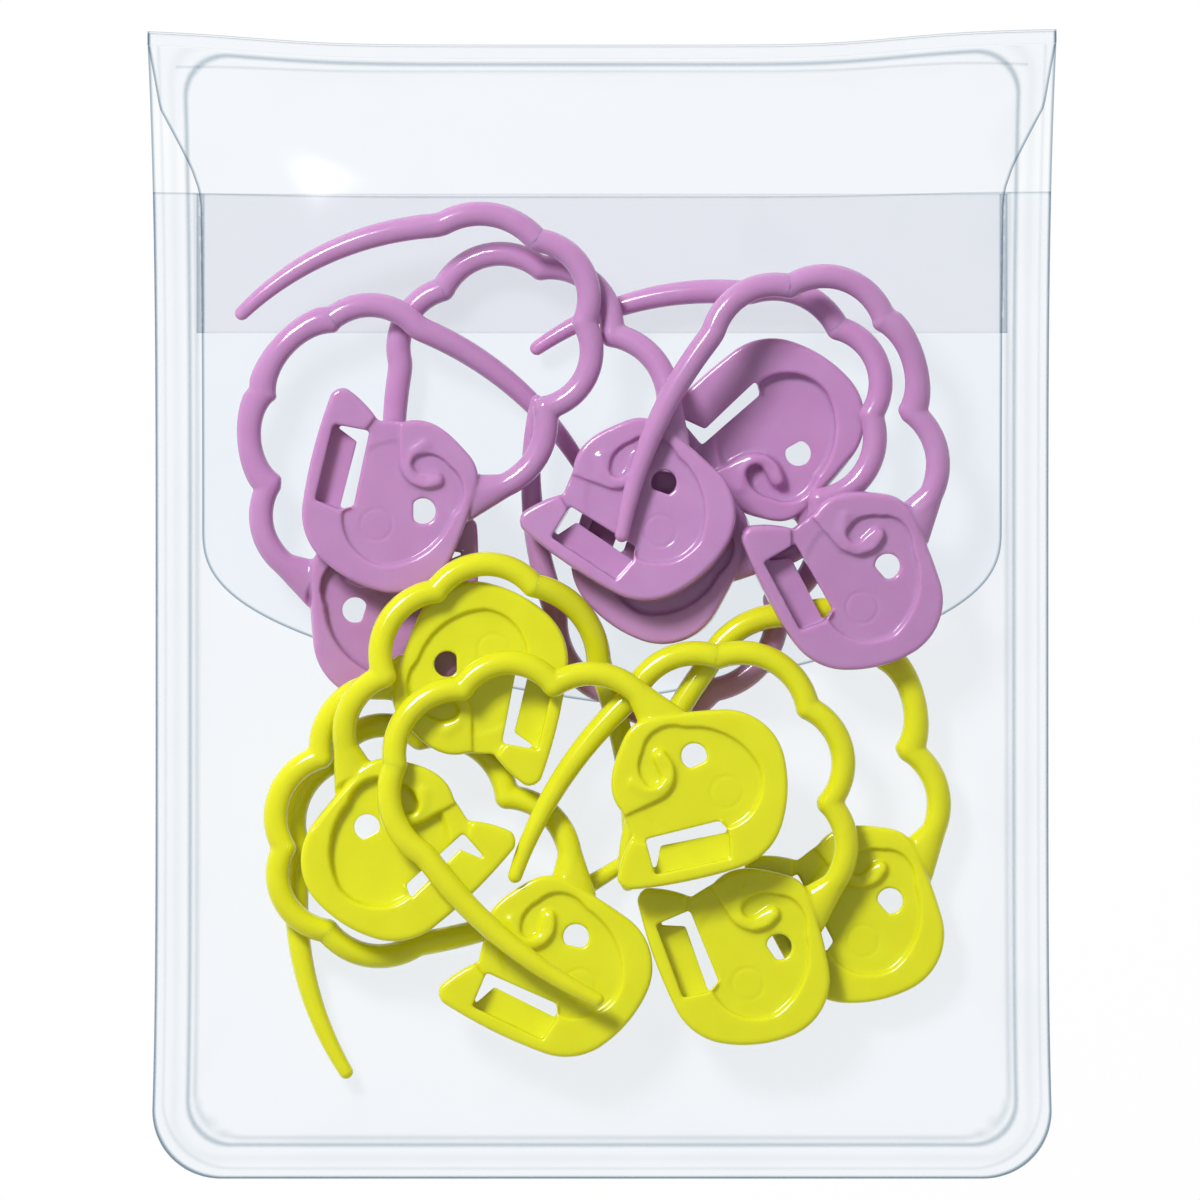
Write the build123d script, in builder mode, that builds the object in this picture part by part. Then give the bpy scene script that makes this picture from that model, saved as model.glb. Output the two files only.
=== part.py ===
from build123d import *
from math import cos, radians, sin
import os

os.makedirs("parts", exist_ok=True)

# Driving sizes of the pouch, in millimetres
POUCH_WIDTH = 70.2
POUCH_LENGTH = 89.3
POUCH_CORNER = 5.5
SIDE_WELD = 3.0
BOTTOM_WELD = 2.9
INNER_CORNER = 3.5
FILM = 0.2
FLOOR_HEIGHT = 1.0
TRAY_GAP = 0.05
MOUTH_SETBACK = 12.3
DOME_SLOPE_LENGTH = 13.0

# Rolled fold and tuck flap
FOLD_RADIUS = 1.0
FOLD_GAP = 0.03
FOLD_OVER = 0.35
WING_LENGTH = 2.0
FLAP_FILM = 0.15
FLAP_LIFT = 0.03
FLAP_SIDE_GAP = 0.5
SHOULDER_STEP = 0.6
SHOULDER_START = 4.95
SHOULDER_LENGTH = 7.3
FLAP_SIDE_LENGTH = 37.6
FLAP_CORNER_LENGTH = 7.2
FLAP_CORNER_WIDTH = 4.7
FLAP_NOSE_LENGTH = 6.3

# Tuck band across the mouth
BAND_WIDTH = 10.9
BAND_LIFT = 0.3
BAND_PAD_WIDTH = 0.55
BAND_END_GAP = 0.15

# One marker
HEAD_RADIUS = 6.88
HEAD_THICKNESS = 2.3
HEAD_EDGE = 0.35
SNOUT_RADIUS = 0.45
RELIEF_DEPTH = 0.35
EYE_RADIUS = 1.0
EYE_FLAT = 0.75
NECK_WIDTH = 3.8
ARM_WIDTH = 1.92
TIP_WIDTH = 1.0
PINCH_SWELL = 0.02
FLEX_GAP = 0.08

# The heap of markers under the domed film
LAYER = (HEAD_THICKNESS + ARM_WIDTH) / 2
DOME_LAYERS_SHARE = 4.25
DOME_POWER = 2.2
DOME_LEVEL_SHARES = (0, 0.04, 0.1, 0.18, 0.28, 0.42, 0.62, 1)
CORNER_GROWTH_SHARE = 0.6

# The pouch's outer edges in the photograph, in its pixels
LEFT_PX, RIGHT_PX = 153, 1051
TOP_PX, BOTTOM_PX = 36, 1179

# The head's profile, as shares of its radius measured from the eye
BROW_SHARES = ((-0.22, 1.03), (-0.51, 1.03))
SNOUT_BOW_SHARE = (-0.70, 1.26)
SNOUT_TIP_SHARE = (-0.99, 1.47)
THROAT_BOW_SHARE = (-1.22, 0.80)
THROAT_SHARE = (-1.37, 0.08)
ROUND_SHARES = ((-1.15, -0.55), (-0.46, -0.92), (0.33, -0.53), (0.62, 0.30))
SLOT_SHARES = ((-1.02, 0.99), (-0.61, 0.91), (-0.79, 0.06), (-0.95, 0.02), (-1.23, 0.13))
LEDGE_SHARES = ((-1.02, 0.99), (-0.75, 0.79), (-0.95, 0.02), (-1.23, 0.13))
# Each run is a straight line between two points or an arc through three
RELIEF_SHARES = (
    ((-0.91, 0.01), (-0.84, -0.36), (-0.44, -0.62)),
    ((-0.44, -0.62), (0.02, -0.47), (0.34, -0.05)),
    ((0.34, -0.05), (0.46, 0.22), (0.31, 0.53)),
    ((0.31, 0.53), (0.16, 0.66), (-0.02, 0.65)),
    ((-0.02, 0.65), (-0.13, 0.53), (-0.05, 0.43)),
    ((-0.05, 0.43), (0.16, 0.43)),
    ((0.16, 0.43), (0.23, 0.36), (0.16, 0.28)),
    ((0.16, 0.28), (-0.14, 0.32), (-0.27, 0.55)),
    ((-0.27, 0.55), (-0.27, 1.12)),
    ((-0.27, 1.12), (-0.50, 1.12)),
    ((-0.50, 1.12), (-0.66, 0.92)),
    ((-0.66, 0.92), (-0.80, 0.04)),
    ((-0.80, 0.04), (-0.91, 0.01)),
)
NECK_SHARE = (0.625, 0.22)
NECK_ROOT_SHARE = (0.52, 0.15)

# How far each bump of an arm, and the long tail after them, bows out, in arm widths
BULGE_SHARES = (1.0, 0.98, 0.98, 0.75, 0.57)
NECK_RUN_SHARE = 0.25
TAIL_STATION_SHARES = (0, 0.25, 0.5, 0.75, 1)

# Each marker: the pixel of its eye, its turn, which face is up, and its slope along X and Y.
# Then the pixels of the arm's four pinches and tip, with their heights counted in layers.
MARKERS = {
    "lilac_marker_1": (
        (423, 511), 0, "front", 2.50, (0, 0),
        ((545, 408), (584, 322), (537, 240), (440, 225), (242, 313)),
        (2.50, 2.50, 2.40, 2.30, 2.00),
    ),
    "lilac_marker_2": (
        (355, 610), -17, "back", 1.25, (0, 0.02),
        ((269, 485), (262, 392), (331, 319), (418, 328), (589, 480)),
        (1.35, 1.40, 1.50, 1.55, 0.30),
    ),
    "lilac_marker_3": (
        (664, 483), 70, "front", 2.90, (0.05, -0.07),
        ((612, 335), (541, 268), (443, 289), (401, 365), (417, 585)),
        (1.85, 1.05, 0.60, 0.50, 0.30),
    ),
    "lilac_marker_4": (
        (798, 453), 119, "back", 0.60, (0, 0),
        ((775, 600), (712, 690), (612, 694), (556, 612), (537, 402)),
        (0.50, 0.50, 0.65, 0.90, 1.45),
    ),
    "lilac_marker_5": (
        (887, 566), 42, "front", 2.55, (-0.10, 0.06),
        ((912, 412), (884, 318), (790, 286), (713, 333), (622, 535)),
        (2.35, 2.80, 3.20, 3.60, 3.85),
    ),
    "lilac_marker_6": (
        (692, 565), -7, "front", 1.65, (0.10, 0.02),
        ((820, 500), (871, 415), (838, 328), (748, 293), (537, 348)),
        (1.70, 1.55, 1.25, 0.95, 0.30),
    ),
    "yellow_marker_1": (
        (447, 664), 181, "front", 2.40, (0, 0.01),
        ((321, 757), (284, 848), (327, 931), (418, 944), (632, 857)),
        (2.00, 1.65, 1.30, 1.00, 0.30),
    ),
    "yellow_marker_2": (
        (367, 827), -60, "back", 2.50, (0, 0),
        ((384, 676), (436, 591), (533, 585), (599, 664), (628, 884)),
        (3.60, 3.40, 3.20, 1.75, 0.80),
    ),
    "yellow_marker_3": (
        (694, 756), 116, "front", 3.50, (0, 0),
        ((554, 685), (462, 689), (395, 765), (425, 855), (597, 1000)),
        (3.55, 3.55, 3.60, 3.60, 3.60),
    ),
    "yellow_marker_4": (
        (779, 947), 34, "front", 1.80, (0, 0),
        ((829, 803), (808, 708), (718, 657), (633, 695), (515, 876)),
        (2.05, 2.30, 2.60, 2.55, 2.55),
    ),
    "yellow_marker_5": (
        (576, 937), 78, "front", 1.80, (0, 0),
        ((507, 797), (420, 738), (330, 763), (300, 851), (346, 1072)),
        (1.40, 0.95, 0.60, 0.50, 0.30),
    ),
    "yellow_marker_6": (
        (890, 901), 40, "front", 0.60, (0, 0),
        ((909, 750), (886, 657), (800, 617), (708, 665), (624, 868)),
        (0.90, 1.20, 1.50, 1.60, 1.90),
    ),
}

# Levels and lines of the pouch, worked out from the sizes above
TOP_Y = POUCH_LENGTH / 2
BOTTOM_Y = -POUCH_LENGTH / 2
MOUTH_Y = TOP_Y - MOUTH_SETBACK
FOLD_Y = TOP_Y - FOLD_RADIUS
FOLD_Z = FLAP_LIFT + FOLD_RADIUS
FOLD_TOP = FOLD_Z + FOLD_RADIUS
BORDER_TOP_Y = FOLD_Y - FOLD_RADIUS - WING_LENGTH
INNER_WIDTH = POUCH_WIDTH - 2 * SIDE_WELD
INNER_TOP_Y = FOLD_Y - FOLD_RADIUS + FILM
INNER_BOTTOM_Y = BOTTOM_Y + BOTTOM_WELD
INNER_LENGTH = INNER_TOP_Y - INNER_BOTTOM_Y
INNER_MIDDLE_Y = (INNER_TOP_Y + INNER_BOTTOM_Y) / 2
DOME_HEIGHT = LAYER * DOME_LAYERS_SHARE
TONGUE_WIDTH = INNER_WIDTH - 2 * (TRAY_GAP + FILM + FLAP_SIDE_GAP)


def place(spot_px, height=0):
    """The point, in millimetres, over one pixel of the photograph."""
    across = (spot_px[0] - (LEFT_PX + RIGHT_PX) / 2) / (RIGHT_PX - LEFT_PX)
    along = ((TOP_PX + BOTTOM_PX) / 2 - spot_px[1]) / (BOTTOM_PX - TOP_PX)
    return Vector(across * POUCH_WIDTH, along * POUCH_LENGTH, height)


def layer_height(layers):
    """Height of a marker's middle, counted in layers over the pouch's floor."""
    return FLOOR_HEIGHT + layers * LAYER


def dome_level(share, film):
    """Inset and height of one level of the domed film, on its inner or outer face."""
    slope = DOME_HEIGHT / DOME_SLOPE_LENGTH * DOME_POWER * (1 - share) ** (DOME_POWER - 1)
    steepness = (1 + slope * slope) ** 0.5
    rise = DOME_HEIGHT * (1 - (1 - share) ** DOME_POWER)
    inset = share * DOME_SLOPE_LENGTH - film * slope / steepness
    return inset, FLOOR_HEIGHT + rise + film / steepness


def dome_levels(film, start_height):
    """The domed film's levels, with an upright skirt down to its start."""
    levels = [dome_level(share, film) for share in DOME_LEVEL_SHARES]
    return [(levels[0][0], start_height)] + levels


# Back panel: weld border, domed film over the markers, and the strip up to the fold
with BuildPart() as back_panel:
    with BuildSketch(Plane.XY.offset(FILM)) as border:
        with Locations((0, (BORDER_TOP_Y + BOTTOM_Y) / 2)):
            Rectangle(POUCH_WIDTH, BORDER_TOP_Y - BOTTOM_Y)
        fillet(border.vertices().group_by(Axis.Y)[0], POUCH_CORNER)
    extrude(amount=FILM)
    for inset, height in dome_levels(FILM, FILM):
        with BuildSketch(Plane.XY.offset(height)):
            with Locations((0, INNER_MIDDLE_Y)):
                RectangleRounded(
                    INNER_WIDTH - 2 * inset,
                    INNER_LENGTH - 2 * inset,
                    INNER_CORNER + CORNER_GROWTH_SHARE * inset,
                )
    loft(ruled=True)
    with BuildSketch(Plane.YZ.offset(-POUCH_WIDTH / 2)):
        Polygon(
            (FOLD_Y, FOLD_TOP - FILM),
            (FOLD_Y, FOLD_TOP),
            (FOLD_Y - FOLD_RADIUS, FOLD_TOP),
            (BORDER_TOP_Y, 2 * FILM),
            (BORDER_TOP_Y, FILM),
            (FOLD_Y - FOLD_RADIUS, FOLD_TOP - FILM),
            align=None,
        )
    extrude(amount=POUCH_WIDTH)
    for inset, height in dome_levels(0, 0):
        with BuildSketch(Plane.XY.offset(height)):
            with Locations((0, INNER_MIDDLE_Y)):
                RectangleRounded(
                    INNER_WIDTH - 2 * inset,
                    INNER_LENGTH - 2 * inset,
                    INNER_CORNER + CORNER_GROWTH_SHARE * inset,
                )
    loft(ruled=True, mode=Mode.SUBTRACT)
    with BuildSketch(Plane.YZ.offset(-INNER_WIDTH / 2)):
        with Locations((INNER_TOP_Y - DOME_SLOPE_LENGTH * DOME_LEVEL_SHARES[1], 0)):
            Rectangle(FOLD_RADIUS, FOLD_TOP - FILM, align=Align.MIN)
    extrude(amount=INNER_WIDTH, mode=Mode.SUBTRACT)
    with BuildSketch(Plane.YZ.offset(-POUCH_WIDTH / 2)):
        with Locations((FOLD_Y, FOLD_Z)):
            Circle(FOLD_RADIUS + FOLD_GAP)
    extrude(amount=POUCH_WIDTH, mode=Mode.SUBTRACT)
back_panel.part.label = "pouch_back_panel"
export_step(back_panel.part, "parts/pouch_back_panel.step")

# Front panel: its border lies welded under the back panel's, its middle is a raised tray
with BuildPart() as front_panel:
    with BuildSketch() as sheet:
        with Locations((0, (MOUTH_Y + BOTTOM_Y) / 2)):
            Rectangle(POUCH_WIDTH, MOUTH_Y - BOTTOM_Y)
        fillet(sheet.vertices().group_by(Axis.Y)[0], POUCH_CORNER)
    extrude(amount=FILM)
    with BuildSketch() as tray:
        with Locations((0, (MOUTH_Y + INNER_BOTTOM_Y + TRAY_GAP) / 2)):
            Rectangle(INNER_WIDTH - 2 * TRAY_GAP, MOUTH_Y - INNER_BOTTOM_Y - TRAY_GAP)
        fillet(tray.vertices().group_by(Axis.Y)[0], INNER_CORNER)
    extrude(amount=FLOOR_HEIGHT)
    with BuildSketch() as hollow:
        with Locations((0, (MOUTH_Y + INNER_BOTTOM_Y + TRAY_GAP + FILM) / 2)):
            Rectangle(
                INNER_WIDTH - 2 * (TRAY_GAP + FILM),
                MOUTH_Y - INNER_BOTTOM_Y - TRAY_GAP - FILM,
            )
        fillet(hollow.vertices().group_by(Axis.Y)[0], INNER_CORNER - FILM)
    extrude(amount=FLOOR_HEIGHT - FILM, mode=Mode.SUBTRACT)
front_panel.part.label = "pouch_front_panel"
export_step(front_panel.part, "parts/pouch_front_panel.step")

# Tuck band: a strap across the mouth, welded to the front panel at both ends
BAND_LENGTH = INNER_WIDTH - 2 * (TRAY_GAP + FILM + BAND_END_GAP)
BAND_PAD_HEIGHT = FLOOR_HEIGHT - FILM - BAND_LIFT
with BuildPart() as tuck_band:
    with BuildSketch(Plane.XY.offset(BAND_LIFT)):
        with Locations((0, MOUTH_Y - BAND_WIDTH / 2)):
            Rectangle(BAND_LENGTH, BAND_WIDTH)
    extrude(amount=FILM)
    with BuildSketch(Plane.XY.offset(BAND_LIFT)):
        for side in (-1, 1):
            with Locations((side * (BAND_LENGTH - BAND_PAD_WIDTH) / 2, MOUTH_Y - BAND_WIDTH / 2)):
                Rectangle(BAND_PAD_WIDTH, BAND_WIDTH)
    extrude(amount=BAND_PAD_HEIGHT)
tuck_band.part.label = "pouch_tuck_band"
export_step(tuck_band.part, "parts/pouch_tuck_band.step")

# Flap: full width at the fold, drawn in at the shoulders to a long rounded tongue
SHOULDER_Y = FOLD_Y - SHOULDER_START
TONGUE_TOP_Y = SHOULDER_Y - SHOULDER_LENGTH
TONGUE_SIDE_Y = FOLD_Y - FLAP_SIDE_LENGTH
TONGUE_NOSE_Y = TONGUE_SIDE_Y - FLAP_CORNER_LENGTH
SHOULDER_BOW_SHARES = (0.55, 0.45)
CORNER_BOW_SHARES = (0.35, 0.75)
fold_edge = POUCH_WIDTH / 2
shoulder_edge = fold_edge - SHOULDER_STEP
tongue_edge = TONGUE_WIDTH / 2
nose_edge = tongue_edge - FLAP_CORNER_WIDTH
shoulder_bow = (
    shoulder_edge - SHOULDER_BOW_SHARES[0] * (shoulder_edge - tongue_edge),
    SHOULDER_Y - SHOULDER_BOW_SHARES[1] * SHOULDER_LENGTH,
)
corner_bow = (
    tongue_edge - CORNER_BOW_SHARES[0] * FLAP_CORNER_WIDTH,
    TONGUE_SIDE_Y - CORNER_BOW_SHARES[1] * FLAP_CORNER_LENGTH,
)
with BuildPart() as flap:
    with BuildSketch(Plane.XY.offset(FLAP_LIFT)):
        with BuildLine():
            Line((0, FOLD_Y), (fold_edge, FOLD_Y))
            Line((fold_edge, FOLD_Y), (shoulder_edge, SHOULDER_Y))
            ThreePointArc((shoulder_edge, SHOULDER_Y), shoulder_bow, (tongue_edge, TONGUE_TOP_Y))
            Line((tongue_edge, TONGUE_TOP_Y), (tongue_edge, TONGUE_SIDE_Y))
            ThreePointArc((tongue_edge, TONGUE_SIDE_Y), corner_bow, (nose_edge, TONGUE_NOSE_Y))
            ThreePointArc(
                (nose_edge, TONGUE_NOSE_Y),
                (0, TONGUE_NOSE_Y - FLAP_NOSE_LENGTH),
                (-nose_edge, TONGUE_NOSE_Y),
            )
            ThreePointArc(
                (-nose_edge, TONGUE_NOSE_Y),
                (-corner_bow[0], corner_bow[1]),
                (-tongue_edge, TONGUE_SIDE_Y),
            )
            Line((-tongue_edge, TONGUE_SIDE_Y), (-tongue_edge, TONGUE_TOP_Y))
            ThreePointArc(
                (-tongue_edge, TONGUE_TOP_Y),
                (-shoulder_bow[0], shoulder_bow[1]),
                (-shoulder_edge, SHOULDER_Y),
            )
            Line((-shoulder_edge, SHOULDER_Y), (-fold_edge, FOLD_Y))
            Line((-fold_edge, FOLD_Y), (0, FOLD_Y))
        make_face()
    extrude(amount=FLAP_FILM)
    with BuildSketch(Plane.YZ.offset(-POUCH_WIDTH / 2)):
        with Locations((FOLD_Y, FOLD_Z)):
            Circle(FOLD_RADIUS)
            Circle(FOLD_RADIUS - FLAP_FILM, mode=Mode.SUBTRACT)
        with Locations((FOLD_Y - FOLD_OVER, FOLD_Z)):
            Rectangle(
                FOLD_RADIUS,
                2 * FOLD_RADIUS,
                align=(Align.MAX, Align.CENTER),
                mode=Mode.SUBTRACT,
            )
    extrude(amount=POUCH_WIDTH)
flap.part.label = "pouch_flap"
export_step(flap.part, "parts/pouch_flap.step")


def head_spot(shares):
    """A point of the head's profile in its own plane, from its shares."""
    return (shares[0] * HEAD_RADIUS, shares[1] * HEAD_RADIUS)


def draw_runs(runs):
    """The lines and arcs of a closed profile, given as shares."""
    for run in runs:
        spots = [head_spot(shares) for shares in run]
        if len(spots) == 2:
            Line(*spots)
        else:
            ThreePointArc(*spots)


# The head that every marker shares, lying flat round its eye: a disc with a pointed snout,
# a slot with a half-depth ledge, a sunk crescent on both faces and a curl left standing in it
MIDDLE = HEAD_THICKNESS / 2
with BuildPart() as head:
    with BuildSketch(Plane.XY.offset(-MIDDLE)) as profile:
        with BuildLine():
            Line(*[head_spot(shares) for shares in BROW_SHARES])
            snout_tip = head_spot(SNOUT_TIP_SHARE)
            ThreePointArc(head_spot(BROW_SHARES[1]), head_spot(SNOUT_BOW_SHARE), snout_tip)
            throat_end = head_spot(THROAT_SHARE)
            turn = ThreePointArc(snout_tip, head_spot(THROAT_BOW_SHARE), throat_end)
            for shares in ROUND_SHARES + BROW_SHARES[:1]:
                turn = TangentArc(turn @ 1, head_spot(shares), tangent=turn % 1)
        make_face()
        fillet(profile.vertices().group_by(Axis.Y)[-1], SNOUT_RADIUS)
    extrude(amount=HEAD_THICKNESS)
    fillet(head.edges().group_by(Axis.Z)[0] + head.edges().group_by(Axis.Z)[-1], HEAD_EDGE)
    with BuildSketch(Plane.XY.offset(-MIDDLE)):
        Polygon(*[head_spot(shares) for shares in SLOT_SHARES], align=None)
    extrude(amount=HEAD_THICKNESS, mode=Mode.SUBTRACT)
    with BuildSketch(Plane.XY.offset(-MIDDLE)):
        Polygon(*[head_spot(shares) for shares in LEDGE_SHARES], align=None)
    extrude(amount=MIDDLE)
    for face_side in (-1, 1):
        with BuildSketch(Plane.XY.offset(face_side * MIDDLE)):
            with BuildLine():
                draw_runs(RELIEF_SHARES)
            make_face()
        extrude(amount=-face_side * RELIEF_DEPTH, mode=Mode.SUBTRACT)
    with BuildSketch(Plane.XY.offset(-MIDDLE)):
        Circle(EYE_RADIUS)
        with Locations((-EYE_FLAT, 0)):
            Rectangle(
                EYE_RADIUS,
                2 * EYE_RADIUS,
                align=(Align.MAX, Align.CENTER),
                mode=Mode.SUBTRACT,
            )
    extrude(amount=HEAD_THICKNESS, mode=Mode.SUBTRACT)


def head_plane(marker):
    """The plane of a marker's head: turned, sloped, and face down where its back is up."""
    eye_px, turn, upper_face, layers, slope, pinches_px, heights = marker
    across = (cos(radians(turn)), sin(radians(turn)))
    climb = slope[0] * across[0] + slope[1] * across[1]
    x_dir = Vector(across[0], across[1], climb)
    z_dir = Vector(-slope[0], -slope[1], 1)
    if upper_face == "back":
        x_dir, z_dir = -x_dir, -z_dir
    return Plane(origin=place(eye_px, layer_height(layers)), x_dir=x_dir, z_dir=z_dir)


def arm_spots(marker):
    """The arm's middle line: the neck, the four pinches and the tip."""
    pinches_px, heights = marker[5], marker[6]
    neck = head_plane(marker).from_local_coords(Vector(*head_spot(NECK_SHARE)))
    pinches = [place(spot, layer_height(height)) for spot, height in zip(pinches_px, heights)]
    return [neck] + pinches


def square_to(path, share):
    """The plane square to a path, at a share of its length."""
    travel = path % share
    return Plane(origin=path @ share, x_dir=Vector(travel.Y, -travel.X), z_dir=travel)


def bow_middle(marker, run):
    """The outermost point of one of the arm's bows, out from the straight run."""
    spots = arm_spots(marker)
    start, end = spots[run], spots[run + 1]
    travel = end - start
    outward = Vector(travel.Y, -travel.X).normalized()
    if marker[2] == "back":
        outward = -outward
    return (start + end) / 2 + outward * (BULGE_SHARES[run] * ARM_WIDTH)


def make_bow_part(marker):
    """Head, neck and the arm's first three bumps, which move as one."""
    spots = arm_spots(marker)
    plane = head_plane(marker)
    with BuildPart() as bow:
        with Locations(plane):
            add(head.part)
        for run in range(3):
            with BuildLine() as path:
                ThreePointArc(spots[run], bow_middle(marker, run), spots[run + 1])
            with BuildSketch(square_to(path.line, 0)):
                Circle(ARM_WIDTH / 2)
            sweep(path=path.line)
            with Locations(square_to(path.line, 1)):
                Sphere(ARM_WIDTH / 2 + PINCH_SWELL)
            if run == 0:
                first_run = path.line
        root = plane.from_local_coords(Vector(*head_spot(NECK_ROOT_SHARE)))
        with BuildSketch(Plane(origin=root, x_dir=plane.y_dir, z_dir=plane.x_dir)):
            Ellipse(NECK_WIDTH / 2, ARM_WIDTH / 2 - PINCH_SWELL)
        with BuildSketch(square_to(first_run, NECK_RUN_SHARE)):
            Circle(ARM_WIDTH / 2 - PINCH_SWELL)
        loft()
    return bow


def make_tail_part(marker):
    """The arm's last bump and its long tapered tail, which flex at the third pinch."""
    spots = arm_spots(marker)
    with BuildPart() as tail:
        with BuildLine() as path:
            ThreePointArc(spots[3], bow_middle(marker, 3), spots[4])
        with BuildSketch(square_to(path.line, 0)):
            Circle(ARM_WIDTH / 2)
        sweep(path=path.line)
        with Locations(spots[3]):
            Sphere(ARM_WIDTH / 2 + PINCH_SWELL + FLEX_GAP, mode=Mode.SUBTRACT)
        with Locations(square_to(path.line, 1)):
            Sphere(ARM_WIDTH / 2 + PINCH_SWELL)
        with BuildLine(mode=Mode.PRIVATE) as taper:
            ThreePointArc(spots[4], bow_middle(marker, 4), spots[5])
        start_width = ARM_WIDTH - 2 * PINCH_SWELL
        for share in TAIL_STATION_SHARES:
            width = start_width + (TIP_WIDTH - start_width) * share
            with BuildSketch(square_to(taper.line, share)):
                Circle(width / 2)
        loft()
        with Locations(square_to(taper.line, 1)):
            Sphere(TIP_WIDTH / 2 + PINCH_SWELL)
    return tail


for name, marker in MARKERS.items():
    bow = make_bow_part(marker)
    bow.part.label = name + "_head"
    export_step(bow.part, "parts/" + name + "_head.step")
    tail = make_tail_part(marker)
    tail.part.label = name + "_tail"
    export_step(tail.part, "parts/" + name + "_tail.step")
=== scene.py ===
import bmesh
import bpy
import numpy as np
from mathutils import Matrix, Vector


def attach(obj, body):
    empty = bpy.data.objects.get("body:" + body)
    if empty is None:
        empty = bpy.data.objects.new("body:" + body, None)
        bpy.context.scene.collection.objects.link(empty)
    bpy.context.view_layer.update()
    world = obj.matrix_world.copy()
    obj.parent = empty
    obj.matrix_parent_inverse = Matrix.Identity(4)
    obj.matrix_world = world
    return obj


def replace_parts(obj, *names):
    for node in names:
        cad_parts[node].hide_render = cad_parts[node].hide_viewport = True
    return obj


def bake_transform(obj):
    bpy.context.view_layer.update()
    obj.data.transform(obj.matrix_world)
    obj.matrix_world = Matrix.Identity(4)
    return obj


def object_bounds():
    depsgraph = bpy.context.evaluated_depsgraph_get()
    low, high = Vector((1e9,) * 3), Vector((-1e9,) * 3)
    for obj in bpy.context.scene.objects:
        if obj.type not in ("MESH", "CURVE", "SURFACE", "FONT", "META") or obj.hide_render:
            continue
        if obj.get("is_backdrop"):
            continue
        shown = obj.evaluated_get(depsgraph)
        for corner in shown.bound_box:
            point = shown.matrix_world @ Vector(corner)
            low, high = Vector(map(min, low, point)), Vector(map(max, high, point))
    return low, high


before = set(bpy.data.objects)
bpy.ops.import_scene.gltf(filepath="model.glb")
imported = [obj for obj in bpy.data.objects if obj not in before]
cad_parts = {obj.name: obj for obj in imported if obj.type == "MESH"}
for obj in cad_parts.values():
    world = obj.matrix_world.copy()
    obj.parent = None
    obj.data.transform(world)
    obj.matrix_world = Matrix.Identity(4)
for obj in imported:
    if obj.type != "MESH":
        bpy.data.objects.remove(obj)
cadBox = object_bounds()
mm = 0.001

# The photograph's frame: the pouch's outer edges in its pixels
photo = {"size": 1200, "left": 153, "right": 1051, "top": 36, "bottom": 1179}
photo["midX"] = (photo["left"] + photo["right"]) / 2
photo["midY"] = (photo["top"] + photo["bottom"]) / 2

# Sizes shared by all film pieces, in millimetres
pouch = {
    "width": 70.2, "length": 89.3, "corner": 5.5, "cornerSteps": 60, "film": 0.2,
    "sideWeld": 3.0, "bottomWeld": 2.9, "innerCorner": 3.5, "cornerGrowth": 0.6, "innerTop": 42.85,
    "foldY": 43.65, "foldZ": 1.03, "foldRadius": 1.0, "mouthY": 32.35,
    "floor": 1.0, "rampWidth": 0.5, "lineInset": 0.06, "lineWidth": 0.12, "farAbove": 134,
}
halfWidth = pouch["width"] / 2
bottomY = -pouch["length"] / 2
innerHalf = halfWidth - pouch["sideWeld"]
innerBottom = bottomY + pouch["bottomWeld"]
mmPerPxX = pouch["width"] / (photo["right"] - photo["left"])
mmPerPxY = pouch["length"] / (photo["bottom"] - photo["top"])


# A pixel of the photograph as a point in millimetres, at a height
def spot(px, height=0.0):
    return np.array([(px[0] - photo["midX"]) * mmPerPxX, (photo["midY"] - px[1]) * mmPerPxY, height])


# sRGB hex digits as linear red, green, blue and alpha: the standard's straight start and power
def linear(hexColour):
    shares = np.array([int(hexColour[i:i + 2], 16) / 255 for i in (0, 2, 4)])
    lit = np.where(shares <= 0.04045, shares / 12.92, ((shares + 0.055) / 1.055) ** 2.4)
    return (*lit, 1.0)


# Adds a node with its settings, and fills its sockets with values or links.
# A socket goes by its number (s0, s1) or by its name, with _ for a space.
def addNode(tree, kind, settings=None, **links):
    node = tree.nodes.new(kind)
    for key, value in (settings or {}).items():
        setattr(node, key, value)
    for key, value in links.items():
        numbered = key[0] == "s" and key[1:].isdigit()
        socket = node.inputs[int(key[1:]) if numbered else key.replace("_", " ")]
        if isinstance(value, bpy.types.NodeSocket):
            tree.links.new(value, socket)
        else:
            socket.default_value = value
    return node


# A new material, and its empty node tree
def newMaterial(name):
    material = bpy.data.materials.new(name)
    material.use_nodes = True
    material.node_tree.nodes.clear()
    return material, material.node_tree


# Calendered soft PVC sheet: crystal clear with a cool tint, and with soft reflections. Along its cut edges
# and welds, and where it is seen edge on, it is darker, tinted towards the edge colour: painted shade for the
# light the film bends there (edge on, partly its own tint over a longer path)
vinyl = {
    # edge is the colour of the painted shade at cut edges, welds and edge-on film
    "edge": "8FA5B3", "mirror": 0.003, "grazingMirror": 0.4, "grazingPower": 5.0, "roughness": 0.18,
    "rippleMm": 9.0, "rippleDepthMm": 0.2, "rippleStrength": 0.25, "rippleDetail": 2.0,
    "cloud": 0.05, "cloudOffset": -0.03, "facingBlend": 0.5,
}
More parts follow.
